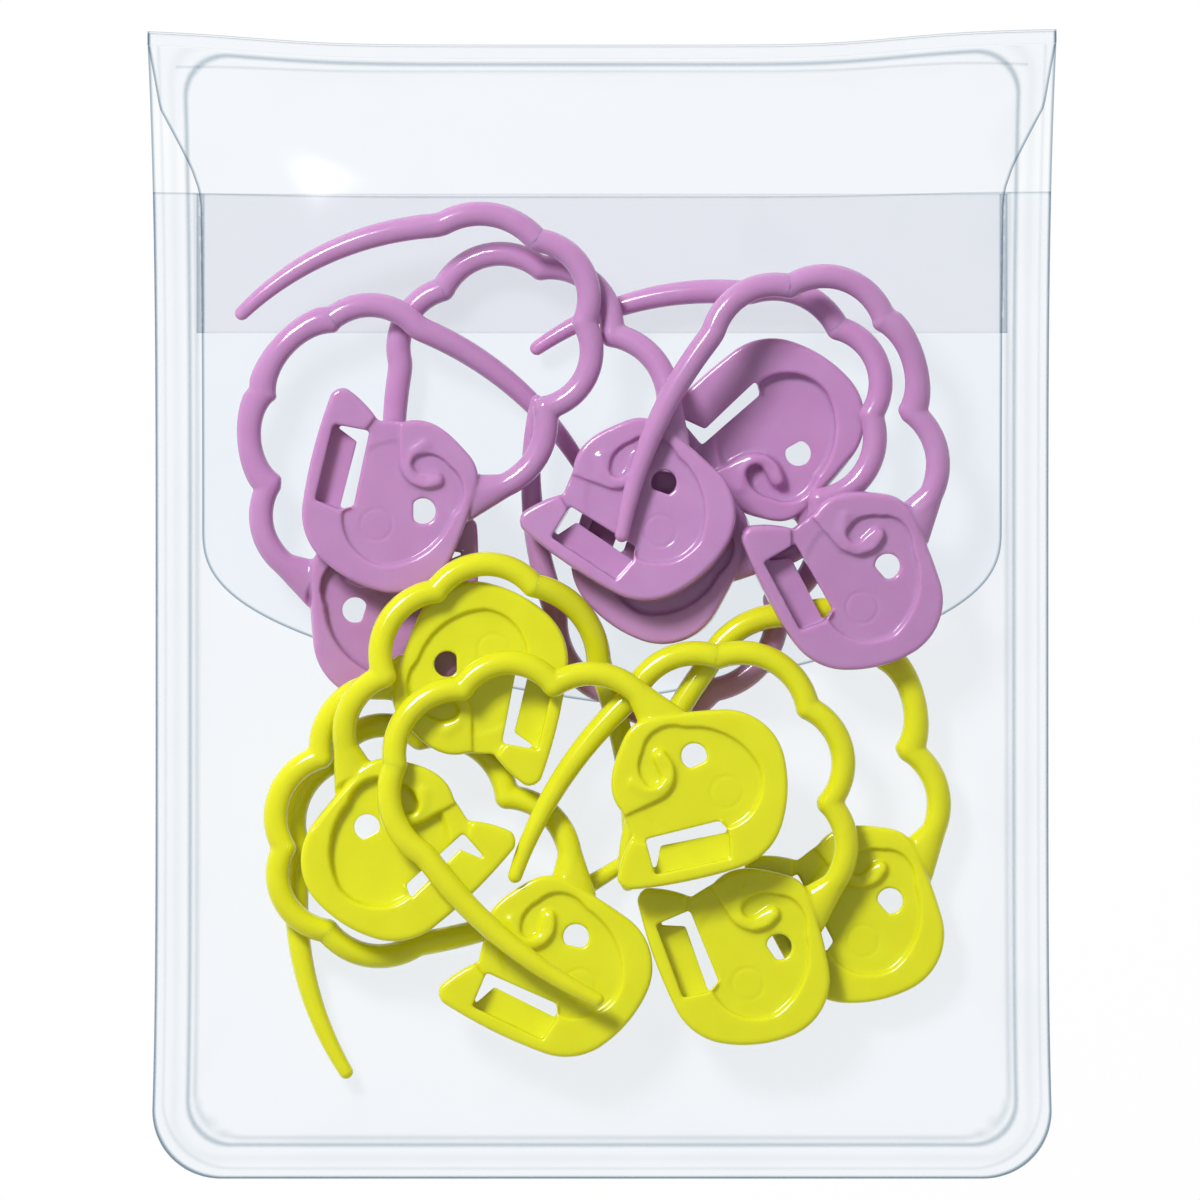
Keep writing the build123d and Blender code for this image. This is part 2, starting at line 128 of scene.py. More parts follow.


# How far the film is seen edge on is the facing share raised to a power. The greater of that and
# a painted shade line, plus a faint cloud, tints what shows through towards the painted shade colour, and the
# edge-on share alone adds to the mirror.
def filmMaterial(name, tint):
    material, tree = newMaterial(name)
    place = addNode(tree, "ShaderNodeTexCoord").outputs["Object"]
    paintedLineShade = addNode(tree, "ShaderNodeAttribute", {"attribute_name": "lineShade"}).outputs["Fac"]
    facing = addNode(tree, "ShaderNodeLayerWeight", Blend=vinyl["facingBlend"]).outputs["Facing"]
    edgeOn = addNode(tree, "ShaderNodeMath", {"operation": "POWER"}, s0=facing, s1=vinyl["grazingPower"])
    paintedShade = addNode(tree, "ShaderNodeMath", {"operation": "MAXIMUM"}, s0=paintedLineShade, s1=edgeOn.outputs[0])
    ripple = addNode(
        tree, "ShaderNodeTexNoise",
        Vector=place, Scale=1 / (vinyl["rippleMm"] * mm), Detail=vinyl["rippleDetail"],
    )
    cloud = addNode(
        tree, "ShaderNodeMath", {"operation": "MULTIPLY_ADD"},
        s0=ripple.outputs["Fac"], s1=vinyl["cloud"], s2=vinyl["cloudOffset"],
    )
    amount = addNode(
        tree, "ShaderNodeMath", {"operation": "ADD", "use_clamp": True},
        s0=paintedShade.outputs[0], s1=cloud.outputs[0],
    )
    colour = addNode(
        tree, "ShaderNodeMix", {"data_type": "RGBA"},
        s0=amount.outputs[0], s6=linear(tint), s7=linear(vinyl["edge"]),
    )
    through = addNode(tree, "ShaderNodeBsdfTransparent", Color=colour.outputs[2])
    bump = addNode(
        tree, "ShaderNodeBump",
        Height=ripple.outputs["Fac"], Strength=vinyl["rippleStrength"], Distance=vinyl["rippleDepthMm"] * mm,
    )
    gloss = addNode(tree, "ShaderNodeBsdfGlossy", Roughness=vinyl["roughness"], Normal=bump.outputs[0])
    mirror = addNode(
        tree, "ShaderNodeMath", {"operation": "MULTIPLY_ADD"},
        s0=edgeOn.outputs[0], s1=vinyl["grazingMirror"], s2=vinyl["mirror"],
    )
    both = addNode(
        tree, "ShaderNodeMixShader", s0=mirror.outputs[0], s1=through.outputs[0], s2=gloss.outputs[0],
    )
    addNode(tree, "ShaderNodeOutputMaterial", Surface=both.outputs[0])
    return material


# Injection-moulded acetal: waxy and slightly see-through, with a clean gloss, faint clouding
# from the flow of the melt and a fine orange peel
acetal = {
    "ior": 1.48, "smooth": 0.09, "rough": 0.19, "cloudMm": 2.6, "peelMm": 0.35, "peelDepthMm": 0.02,
    "peelStrength": 0.12, "cloudDetail": 3.0, "peelDetail": 2.0, "glowShare": 0.45, "glowMm": 1.4,
}


# The cloud mixes the light and deep colours, and the peel sets the roughness and the bump
def acetalMaterial(name, light, deep, glow):
    material, tree = newMaterial(name)
    place = addNode(tree, "ShaderNodeTexCoord").outputs["Object"]
    cloud = addNode(
        tree, "ShaderNodeTexNoise",
        Vector=place, Scale=1 / (acetal["cloudMm"] * mm), Detail=acetal["cloudDetail"],
    )
    colour = addNode(
        tree, "ShaderNodeMix", {"data_type": "RGBA"},
        s0=cloud.outputs["Fac"], s6=linear(light), s7=linear(deep),
    )
    peel = addNode(
        tree, "ShaderNodeTexNoise",
        Vector=place, Scale=1 / (acetal["peelMm"] * mm), Detail=acetal["peelDetail"],
    )
    rough = addNode(
        tree, "ShaderNodeMapRange", Value=peel.outputs["Fac"], s3=acetal["smooth"], s4=acetal["rough"],
    )
    bump = addNode(
        tree, "ShaderNodeBump",
        Height=peel.outputs["Fac"], Strength=acetal["peelStrength"], Distance=acetal["peelDepthMm"] * mm,
    )
    shader = addNode(
        tree, "ShaderNodeBsdfPrincipled",
        Base_Color=colour.outputs[2], Roughness=rough.outputs[0], IOR=acetal["ior"], Normal=bump.outputs[0],
        Subsurface_Weight=acetal["glowShare"], Subsurface_Radius=linear(glow)[:3],
        Subsurface_Scale=acetal["glowMm"] * mm,
    )
    addNode(tree, "ShaderNodeOutputMaterial", Surface=shader.outputs[0])
    return material


clearVinyl = filmMaterial("clearVinyl", "FCFDFE")
bandVinyl = filmMaterial("bandVinyl", "FAF9FA")
plastics = {
    "lilac": acetalMaterial("lilacAcetal", "C796C4", "BD86B9", "FF7CA4"),
    "yellow": acetalMaterial("yellowAcetal", "E8E724", "DDDB18", "FFD060"),
}
print("materials ready")


# Quads of two grids of points, the upper then the lower, closed by a rim along all four sides
def shellFaces(rows, cols):
    i, j = np.meshgrid(np.arange(rows - 1), np.arange(cols - 1), indexing="ij")
    a = (i * cols + j).ravel()
    top = np.stack([a, a + 1, a + cols + 1, a + cols], 1)
    low = rows * cols
    j, i = np.arange(cols - 1), np.arange(rows - 1) * cols
    far = j + (rows - 1) * cols
    right = i + cols - 1
    rim = [
        np.stack([j + low, j + 1 + low, j + 1, j], 1),
        np.stack([far, far + 1, far + 1 + low, far + low], 1),
        np.stack([i, i + cols, i + cols + low, i + low], 1),
        np.stack([right + low, right + cols + low, right + cols, right], 1),
    ]
    return np.concatenate([top, top[:, ::-1] + low] + rim)


# A mesh as an object of one material
def addPiece(name, mesh, material):
    mesh.materials.clear()
    mesh.materials.append(material)
    piece = bpy.data.objects.new(name, mesh)
    bpy.context.scene.collection.objects.link(piece)
    return piece


# A smooth piece from points in millimetres, with creases where its faces meet at a sharper angle
def meshPiece(name, points, quads, material, sharpAngle=50):
    mesh = bpy.data.meshes.new(name)
    mesh.from_pydata((points.reshape(-1, 3) * mm).tolist(), [], quads.tolist())
    mesh.shade_smooth()
    mesh.set_sharp_from_angle(angle=np.radians(sharpAngle))
    return addPiece(name, mesh, material)


# A closed sheet of film between two grids of points, with its painted shade lines kept as an attribute.
# Clear film throws next to no shadow.
def filmPiece(name, upper, lower, paintedShadeLines, material):
    points = np.concatenate([upper.reshape(-1, 3), lower.reshape(-1, 3)])
    piece = meshPiece(name, points, shellFaces(*upper.shape[:2]), material)
    shade = piece.data.attributes.new("lineShade", "FLOAT", "POINT")
    shade.data.foreach_set("value", np.concatenate([paintedShadeLines.ravel()] * 2).clip(0, 1).astype(np.float32))
    piece.visible_shadow = piece.visible_diffuse = False
    return piece


# Uneven stations: each stretch between two marks is cut into its own number of steps
def stations(marks, steps):
    runs = [np.linspace(a, b, n, endpoint=False) for a, b, n in zip(marks[:-1], marks[1:], steps)]
    return np.concatenate(runs + [[marks[-1]]])


# A smooth step from 0 to 1: three t squared less two t cubed
def ease(t):
    t = np.clip(t, 0, 1)
    return t * t * (3 - 2 * t)


# A bell curve round nought: e to the less squared share of the width
def crest(value, width):
    return np.exp(-(value / width) ** 2)


# The greater of two heights, with a parabola where they meet
def softMax(a, b, reach):
    h = np.clip(0.5 + (a - b) / (2 * reach), 0, 1)
    return b + (a - b) * h + reach * h * (1 - h)


# How far a point lies inside a rectangle whose corner radius grows with the inset: the inset is
# raised or lowered by most of its distance to the rounded rectangle until it stays
def roundedInset(x, y, halfX, low, high, radius, growth=0.0, rounds=14, pace=0.6):
    inset = np.zeros_like(x)
    for _ in range(rounds):
        r = radius + growth * np.clip(inset, 0, None)
        qx = np.abs(x) - (halfX - inset - r)
        qy = np.abs(y - (low + high) / 2) - ((high - low) / 2 - inset - r)
        gap = r - np.hypot(qx.clip(0), qy.clip(0)) - np.minimum(np.maximum(qx, qy), 0)
        inset = inset + pace * gap
    return inset


# How far a point lies inside the weld
def weldInset(x, y):
    corner, growth = pouch["innerCorner"], pouch["cornerGrowth"]
    return roundedInset(x, y, innerHalf, innerBottom, pouch["innerTop"], corner, growth)


# How far a point lies inside the cut edge at the sides and bottom; the top is set far above
def edgeInset(x, y):
    return roundedInset(x, y, halfWidth, bottomY, pouch["farAbove"], pouch["corner"])


# The soft pouch isn't quite square: its fold sags in the middle and its sides bow
slack = {
    "sag": 1.3, "spread": 0.65, "leftReach": 28.5, "rightReach": 24.0,
    "sagPower": 6.8, "sagFrom": 26, "sagRun": 17, "pull": 0.2,
    "flareSpan": 44, "flareTop": 0.65, "topPower": 3.5, "flareBottom": 0.45, "bottomPower": 5,
    "sidePower": 3,
}


# Moves a flat layout's point to where the soft film has settled. The fold drops by
# sag / (1 + (x / reach) ^ power). The sides bow by powers of the height on the page, times a
# power of the share of half the width.
def slump(x, y):
    reach = np.where(x < 0, slack["leftReach"], slack["rightReach"])
    sag = slack["spread"] - slack["sag"] / (1 + (np.abs(x) / reach) ** slack["sagPower"])
    t = y / slack["flareSpan"]
    top = slack["flareTop"] * np.abs(t) ** slack["topPower"]
    bottom = slack["flareBottom"] * np.abs(t) ** slack["bottomPower"]
    flare = np.where(t > 0, top, bottom) - slack["pull"]
    drop = sag * ease((y - slack["sagFrom"]) / slack["sagRun"])
    return x + flare * (x / halfWidth) ** slack["sidePower"], y + drop


# Half the pouch's width at a height on the page: straight sides, then round bottom corners,
# whose reach is the root of radius squared less drop squared
def outlineHalf(y):
    corner = pouch["corner"]
    drop = (bottomY + corner - y).clip(0, corner)
    return halfWidth - corner + np.sqrt((corner ** 2 - drop ** 2).clip(0))


# A grid over the pouch's outline: rows keep even steps round the bottom corners, columns are
# shares of half the width
def outlineGrid(panel):
    turn = np.linspace(0, np.pi / 2, pouch["cornerSteps"], endpoint=False)
    cornerRows = bottomY + pouch["corner"] * (1 - np.cos(turn))
    sideRows = stations([bottomY + pouch["corner"], *panel["rows"]], panel["rowSteps"])
    columns = stations(panel["columns"], panel["columnSteps"])
    yy, share = np.meshgrid(np.concatenate([cornerRows, sideRows]), columns, indexing="ij")
    return share * outlineHalf(yy), yy


# Painted shade along a cut edge: a line for the light that the edge bends
def cutEdgeShade(toEdge):
    return crest(toEdge - pouch["lineInset"], pouch["lineWidth"])


# Back panel: weld border, domed film over the markers, strip up to the fold
backPanel = {
    "rows": (-28, 28, 36, 40.5, 43.5), "rowSteps": (20, 46, 14, 18, 30),
    "columns": (-1, -0.968, -0.9, -0.74, -0.54, 0.54, 0.74, 0.9, 0.968, 1),
    "columnSteps": (14, 24, 20, 10, 22, 10, 20, 24, 14),
    "rise": 8.97, "slope": 13.0, "power": 2.2, "stripZ": 1.83, "stripFrom": 40.65, "stripRun": 2,
    "blend": 0.12, "probe": 0.02, "thickest": 2.2, "cutShade": 0.55, "beadShade": 0.1, "beadAt": 0.8,
    "weldShade": 0.35, "weldAt": -0.25, "weldWidth": 0.16, "ridgeShade": 0.05, "ridgeAt": -1.3, "ridgeWidth": 0.35,
    "footShade": 0.16, "footY": 42.55, "footDrop": 0.6, "footHalf": 33, "footWidth": 0.1,
    "footPower": 4,
}


# The inner face's height: the border at the film's thickness, then a dome that rises by
# 1 - (1 - share) ^ power, or the strip's height near the fold if that is more
def backHeight(x, y):
    inset = weldInset(x, y)
    share = (inset / backPanel["slope"]).clip(0, 1)
    border = pouch["film"] + (pouch["floor"] - pouch["film"]) * ease(inset / pouch["rampWidth"] + 1)
    dome = border + backPanel["rise"] * (1 - (1 - share) ** backPanel["power"])
    climb = ((y - backPanel["stripFrom"]) / backPanel["stripRun"]).clip(0, 1)
    strip = pouch["film"] + (backPanel["stripZ"] - pouch["film"]) * climb
    return softMax(dome, strip, backPanel["blend"])


# The outer face lies a film's thickness over the inner one, measured square to the slope
def makeBackPanel():
    xx, yy = outlineGrid(backPanel)
    low, probe = backHeight(xx, yy), backPanel["probe"]
    slopeX = (backHeight(xx + probe, yy) - low) / probe
    slopeY = (backHeight(xx, yy + probe) - low) / probe
    high = low + pouch["film"] * np.sqrt(1 + slopeX ** 2 + slopeY ** 2).clip(1, backPanel["thickest"])
    edge, weld = edgeInset(xx, yy), weldInset(xx, yy)
    toSide = np.abs(xx / backPanel["footHalf"])
    foot = backPanel["footY"] - backPanel["footDrop"] * toSide ** backPanel["footPower"]
    onFoot = np.abs(xx) < backPanel["footHalf"]
    # Painted shade lines along the cut edge, the bead, the weld, the ridge and the foot near the fold, for
    # the light that these bend
    paintedShadeLines = (
        backPanel["cutShade"] * cutEdgeShade(edge)
        + backPanel["beadShade"] * crest(edge - backPanel["beadAt"], pouch["lineWidth"])
        + backPanel["weldShade"] * crest(weld - backPanel["weldAt"], backPanel["weldWidth"])
        + backPanel["ridgeShade"] * crest(weld - backPanel["ridgeAt"], backPanel["ridgeWidth"])
        + backPanel["footShade"] * crest(yy - foot, backPanel["footWidth"]) * onFoot
    )
    px, py = slump(xx, yy)
    upper, lower = np.stack([px, py, high], -1), np.stack([px, py, low], -1)
    return filmPiece("pouchBackPanel", upper, lower, paintedShadeLines, clearVinyl)


# Front panel: border under the back panel's, raised tray up to the mouth
frontPanel = {
    "rows": (28, 31.85, pouch["mouthY"]), "rowSteps": (70, 6, 6),
    "columns": (-1, -0.94, -0.88, -0.7, 0.7, 0.88, 0.94, 1), "columnSteps": (16, 20, 6, 14, 6, 20, 16),
    "gap": 0.08, "trayTop": 20, "cutShade": 0.3, "weldShade": 0.15, "weldAt": 0.3, "weldWidth": 0.2,
    "mouthShade": 0.25, "mouthAt": 0.05, "mouthWidth": 0.1,
}


# The sheet's height: a smooth step up from the border to the tray, open at the top
def makeFrontPanel():
    xx, yy = outlineGrid(frontPanel)
    edge, weld = edgeInset(xx, yy), weldInset(xx, np.minimum(yy, frontPanel["trayTop"]))
    step = ease((weld - frontPanel["gap"]) / pouch["rampWidth"])
    high = pouch["film"] + (pouch["floor"] - pouch["film"]) * step
    toMouth = pouch["mouthY"] - yy
    # Painted shade lines along the cut edge, the weld and the mouth's edge, for the light that these bend
    paintedShadeLines = (
        frontPanel["cutShade"] * cutEdgeShade(edge)
        + frontPanel["weldShade"] * crest(weld - frontPanel["weldAt"], frontPanel["weldWidth"])
        + frontPanel["mouthShade"] * crest(toMouth - frontPanel["mouthAt"], frontPanel["mouthWidth"])
    )
    px, py = slump(xx, yy)
    upper, lower = np.stack([px, py, high], -1), np.stack([px, py, high - pouch["film"]], -1)
    return filmPiece("pouchFrontPanel", upper, lower, paintedShadeLines, clearVinyl)


# Tuck band: a strap of duller film, thick where it is welded on at both ends
tuckBand = {
    "half": 31.7, "padFrom": 30.7, "width": 10.9, "hem": 0.5,
    "rowSteps": (6, 14, 6), "columnSteps": (16, 40, 16),
    "lift": 0.3, "padWidth": 0.55, "padTop": 0.8, "padRamp": 0.15, "padShade": 0.3, "edgeShade": 0.1,
}


# Its top is at the pad's height at both ends, and drops to the sheet's by a smooth step
def makeTuckBand():
    top, foot, half = pouch["mouthY"], pouch["mouthY"] - tuckBand["width"], tuckBand["half"]
    y = stations([foot, foot + tuckBand["hem"], top - tuckBand["hem"], top], tuckBand["rowSteps"])
    x = stations([-half, -tuckBand["padFrom"], tuckBand["padFrom"], half], tuckBand["columnSteps"])
    yy, xx = np.meshgrid(y, x, indexing="ij")
    sheet = tuckBand["lift"] + pouch["film"]
    offPad = ease((half - np.abs(xx) - tuckBand["padWidth"]) / tuckBand["padRamp"])
    high = tuckBand["padTop"] - (tuckBand["padTop"] - sheet) * offPad
    edge = np.minimum(yy - foot, top - yy)
    # Painted shade over the welded pads at both ends and along the band's cut edges, for the light that these
    # bend
    paintedShadeLines = tuckBand["padShade"] * (1 - offPad) + tuckBand["edgeShade"] * crest(edge, pouch["lineWidth"])
    upper, lower = np.stack([xx, yy, high], -1), np.stack([xx, yy, 0 * xx + tuckBand["lift"]], -1)
    return filmPiece("pouchTuckBand", upper, lower, paintedShadeLines, bandVinyl)


# Flap: rolled over the fold at the top, then a long tongue with a shallow nose
flap = {
    "film": 0.15, "rollFrom": 95, "rollTo": -90, "rollSteps": 40,
    "lieMarks": (38, 31, 6.1), "lieSteps": (10, 16, 24),
    "tongueEnd": 6.1, "nose": 13.55, "noseSteps": 60, "nosePower": 2.6, "noseRound": 0.93, "sliver": 0.0002,
    "shoulderY": (31.4, 32.6, 34.2, 36.0, 38.7, 43.65),
    "shoulderHalf": (31.4, 31.55, 32.1, 33.0, 34.4, 35.1),
    "columns": (-1, -0.985, -0.9, -0.6, 0.6, 0.9, 0.985, 1), "columnSteps": (10, 14, 10, 20, 10, 14, 10),
    "cutShade": 0.55, "steepest": 40, "nudge": 1e-6, "blendTop": 1.9, "blendFoot": 0.2,
}


# Half the flap's width: full at the fold, drawn in at the shoulders, and at the nose
# (1 - t ^ power) ^ round of the tongue's
def flapHalf(y):
    t = ((flap["tongueEnd"] - y) / flap["nose"]).clip(0, 1)
    side = np.interp(y, flap["shoulderY"], flap["shoulderHalf"])
    return side * (1 - t ** flap["nosePower"]).clip(flap["sliver"]) ** flap["noseRound"]


# Each row is a place on the flap's path: round the fold by cosine and sine, then straight down.
# The two faces have the fold's radius, and that less the film. Rows round the fold share one
# place on the page, so each is nudged apart before the outline's slope is taken.
def makeFlap():
    turn = np.radians(np.linspace(flap["rollFrom"], flap["rollTo"], flap["rollSteps"]))
    lie = stations([pouch["foldY"], *flap["lieMarks"]], flap["lieSteps"])[1:]
    tip = flap["tongueEnd"] - flap["nose"] * np.sin(np.linspace(0, np.pi / 2, flap["noseSteps"]))[1:]
    flatY = np.concatenate([np.full(turn.size, pouch["foldY"]), lie, tip])
    outY = np.concatenate([np.cos(turn), np.zeros(lie.size + tip.size)])
    outZ = np.concatenate([np.sin(turn), -np.ones(lie.size + tip.size)])
    columns = stations(flap["columns"], flap["columnSteps"])
    rows, share = np.meshgrid(np.arange(flatY.size), columns, indexing="ij")
    half = flapHalf(flatY[rows])
    xx = share * half
    px, py = slump(xx, flatY[rows])
    radii = (pouch["foldRadius"], pouch["foldRadius"] - flap["film"])
    upper, lower = (
        np.stack([px, py + radius * outY[rows], pouch["foldZ"] + radius * outZ[rows]], -1) for radius in radii
    )
    falling = np.minimum.accumulate(flatY - np.arange(flatY.size) * flap["nudge"])
    slope = np.gradient(flapHalf(flatY), falling)[rows].clip(-flap["steepest"], flap["steepest"])
    # Painted shade along the flap's cut edge: a line for the light that the edge bends
    paintedShadeLines = flap["cutShade"] * cutEdgeShade((half - np.abs(xx)) / np.sqrt(1 + slope ** 2))
    return filmPiece("pouchFlap", upper, lower, paintedShadeLines, clearVinyl)


for piece, node, finish in (
    (makeBackPanel(), "pouch_back_panel", "clear_film"),
    (makeFrontPanel(), "pouch_front_panel", "clear_film"),
    (makeTuckBand(), "pouch_tuck_band", "band_film"),
):
    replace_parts(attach(piece, "pouch"), node)
fold = makeFlap()
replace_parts(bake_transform(fold), "pouch_flap")
print("film pieces ready")


# Markers: each head with its wavy bow is one moulding, its last bump and tail flex
marker = {
    "headThickness": 2.3, "headRadius": 6.88, "armWidth": 1.92, "tipWidth": 1.12, "floor": 1.0,
    "tailBump": 0.75, "tailBow": 0.57, "springyBow": 0.82, "taper": 1.7, "flatten": 0.6,
    "arcSteps": 48, "cornerRounds": 4,
    "ringSides": 28, "noseSteps": 9, "noseTurn": 1.5,
    "mergeMm": 0.0005, "voxelMm": 0.12, "smoothing": 8, "smoothShare": 0.5,
}
layer = (marker["headThickness"] + marker["armWidth"]) / 2

# Each marker: its eye's pixel, turn, upper face, height in layers and slope along X and Y,
# then the pixels of its third and fourth pinch and tip, with their heights in layers
markers = {
    "lilac_marker_1": (
        (423, 511), 0, "front", 2.50, (0, 0), ((537, 240), (440, 225), (242, 313)), (2.40, 2.30, 2.00)),
    "lilac_marker_2": (
        (355, 610), -17, "back", 1.25, (0, 0.02), ((331, 319), (418, 328), (589, 480)), (1.50, 1.55, 0.30)),
    "lilac_marker_3": (
        (664, 483), 70, "front", 2.90, (0.05, -0.07),
        ((443, 289), (401, 365), (417, 585)), (0.60, 0.50, 0.30)),
    "lilac_marker_4": (
        (798, 453), 119, "back", 0.60, (0, 0), ((612, 694), (556, 612), (537, 402)), (0.65, 0.90, 1.45)),
    "lilac_marker_5": (
        (887, 566), 42, "front", 2.55, (-0.10, 0.06),
        ((790, 286), (713, 333), (622, 535)), (3.20, 3.60, 3.85)),
    "lilac_marker_6": (
        (692, 565), -7, "front", 1.65, (0.10, 0.02),
        ((838, 328), (748, 293), (537, 348)), (1.25, 0.95, 0.30)),
    "yellow_marker_1": (
        (447, 664), 181, "front", 2.40, (0, 0.01), ((327, 931), (418, 944), (632, 857)), (1.30, 1.00, 0.30)),
    "yellow_marker_2": (
        (367, 827), -60, "back", 2.50, (0, 0), ((533, 585), (599, 664), (628, 884)), (3.20, 1.75, 0.80)),
    "yellow_marker_3": (
        (694, 756), 116, "front", 3.50, (0, 0), ((395, 765), (425, 855), (597, 1000)), (3.60, 3.60, 3.60)),
    "yellow_marker_4": (
        (779, 947), 34, "front", 1.80, (0, 0), ((718, 657), (633, 695), (515, 876)), (2.60, 2.55, 2.55)),
    "yellow_marker_5": (
        (576, 937), 78, "front", 1.80, (0, 0), ((330, 763), (300, 851), (346, 1072)), (0.60, 0.50, 0.30)),
    "yellow_marker_6": (
        (890, 901), 40, "front", 0.60, (0, 0), ((800, 617), (708, 665), (624, 868)), (1.50, 1.60, 1.90)),
}

# The markers whose tail has sprung out into a deeper bow
springy = ("lilac_marker_1", "lilac_marker_2", "lilac_marker_6", "yellow_marker_5")

# Bumps of an arm that bow out less than the solid's, as the pixels of their two pinches
flatterBumps = {
    "lilac_marker_2": (((269, 485), (262, 392)), ((262, 392), (331, 319))),
    "lilac_marker_5": (((912, 412), (884, 318)),),
    "yellow_marker_6": (((909, 750), (886, 657)),),
}

# Fine forms of the head. Places and reaches are shares of its radius from the eye, heights and
# depths are in millimetres from the head's middle plane.
headDetail = {
    "floorLevel": 0.8, "faceLevel": 1.15, "faceFrom": 0.25, "faceRun": 0.2,
    "backDepth": 0.7, "frontDepth": 0.1,
    "moonCentre": (-0.22, 0.05), "moonReach": (0.73, 0.71), "moonEnd": 1.13, "moonFade": 0.12,
    "curl": ((0.03, 0.80), (-0.11, 0.67), (-0.17, 0.50), (-0.13, 0.35), (0.01, 0.28), (0.15, 0.33)),
    "curlSteps": 70, "curlWidth": 0.07, "curlRise": 0.16,
    "ring": (-0.53, -0.15), "ringRadius": 0.18, "ringWidth": 0.018, "ringDepth": 0.05,
    "ledge": ((-1.04, 1.02), (-1.25, 0.10), (-0.93, -0.01), (-0.72, 0.80)),
    "ledgeTop": 0.12, "ledgeDrop": 0.55, "snout": (-0.99, 1.47), "snoutAxis": (-0.302, 0.953),
    "snoutHalfAngle": 36.5, "snoutRadius": 0.131, "snoutReach": 0.176,
    "browAngle": 64, "browSpread": 26, "browPull": 0.13, "browFrom": 0.5, "browTo": 1.1, "browFade": 0.18,
}


# The head's middle and its three directions, from its turn, slope and upper face
def headAxes(name):
    eye, turn, up, layers, slope = markers[name][:5]
    across = np.array([np.cos(np.radians(turn)), np.sin(np.radians(turn)), 0])
    across[2] = slope[0] * across[0] + slope[1] * across[1]
    rise = np.array([-slope[0], -slope[1], 1])
    across, rise = across / np.linalg.norm(across), rise / np.linalg.norm(rise)
    if up == "back":
        across, rise = -across, -rise
    return spot(eye, marker["floor"] + layers * layer), np.stack([across, np.cross(rise, across), rise])


# Deepens the crescent: inside its ellipse, heights below the face are stretched down
def sinkMoon(flat, level, side):
    near = np.hypot(*((flat - headDetail["moonCentre"]) / headDetail["moonReach"]).T)
    inMoon = ease((headDetail["moonEnd"] - near) / headDetail["moonFade"])
    depth = np.where(side < 0, headDetail["backDepth"], headDetail["frontDepth"])
    floor, face = headDetail["floorLevel"], headDetail["faceLevel"]
    onWall = face - (face - level) * (face - floor + depth) / (face - floor)
    sunk = np.where(level < floor, level * (1 - depth / floor), np.minimum(onWall, level))
    return level + (sunk - level) * inMoon


# Raises the curl, by a bell curve across its line, and presses in the faint ring that the
# ejector pin leaves
def drawCurl(flat, level):
    marks, spread = np.array(headDetail["curl"]), np.arange(len(headDetail["curl"]))
    walk = np.linspace(0, len(marks) - 1, headDetail["curlSteps"])
    curl = np.stack([np.interp(walk, spread, marks[:, axis]) for axis in (0, 1)], 1)
    toCurl = np.sqrt(((flat[:, None] - curl[None]) ** 2).sum(2).min(1))
    toRing = np.hypot(*(flat - headDetail["ring"]).T) - headDetail["ringRadius"]
    raised = headDetail["curlRise"] * crest(toCurl, headDetail["curlWidth"])
    pressed = headDetail["ringDepth"] * crest(toRing, headDetail["ringWidth"])
    return level + (raised - pressed) * ease((level - headDetail["faceFrom"]) / headDetail["faceRun"])


# Sinks the slot's ledge: over its four-sided floor, heights above the lower face are shrunk
def sinkLedge(flat, height):
    corners = np.array(headDetail["ledge"])
    sides, toward = np.roll(corners, -1, 0) - corners, flat[:, None] - corners[None]
    inside = (sides[None, :, 0] * toward[..., 1] - sides[None, :, 1] * toward[..., 0] > 0).all(1)
    face = headDetail["faceLevel"]
    sunk = (height + face) * (1 - headDetail["ledgeDrop"] / face) - face
    return np.where(inside & (height < headDetail["ledgeTop"]), sunk, height)


# Rounds the snout's tip: within the wedge ahead of a circle that touches both sides of the snout,
# distances from its centre are shrunk so that the outline becomes the circle
def roundSnout(flat):
    axis, half = np.array(headDetail["snoutAxis"]), np.radians(headDetail["snoutHalfAngle"])
    radius = headDetail["snoutRadius"]
    away = flat - (np.array(headDetail["snout"]) - axis * radius / np.sin(half))
    side = np.arctan2(away[:, 1] * axis[0] - away[:, 0] * axis[1], away @ axis)
    wedge = np.pi / 2 - half
    outline = np.minimum(radius / np.cos(wedge - np.abs(side).clip(0, wedge)), headDetail["snoutReach"])
    shrink = np.where(np.abs(side) < wedge, radius / outline, 1).clip(0, 1)
    return flat + away * (shrink - 1)[:, None]


# Draws in the brow, whose outline bulges in the solid: a bell curve over the angle round the eye,
# which fades in towards the outline and out again beyond it
def drawInBrow(flat):
    reach = np.hypot(*flat.T)
    angle = np.degrees(np.arctan2(flat[:, 1], flat[:, 0]))
    grow = ease((reach - headDetail["browFrom"]) / (1 - headDetail["browFrom"]))
    fade = 1 - ease((reach - headDetail["browTo"]) / headDetail["browFade"])
    pull = headDetail["browPull"] * crest(angle - headDetail["browAngle"], headDetail["browSpread"])
    return flat * (1 - pull * grow * fade / reach.clip(headDetail["browFrom"]))[:, None]


# Flattens bumps of an arm: points near a bump move in by 4 t (1 - t) of the most, where t runs
# from one pinch to the next
def flattenBumps(points, name):
    for start, end in flatterBumps.get(name, ()):
        low, high = spot(start)[:2], spot(end)[:2]
        span = np.linalg.norm(high - low)
        along = (high - low) / span
        out = np.array([along[1], -along[0]]) * (1 if markers[name][2] == "front" else -1)
        away = points[:, :2] - low
        t = away @ along / span
        pull = marker["flatten"] * 4 * t * (1 - t) * ((t > 0) & (t < 1) & (away @ out > -marker["armWidth"]))
        points[:, :2] -= pull[:, None] * out
    return points


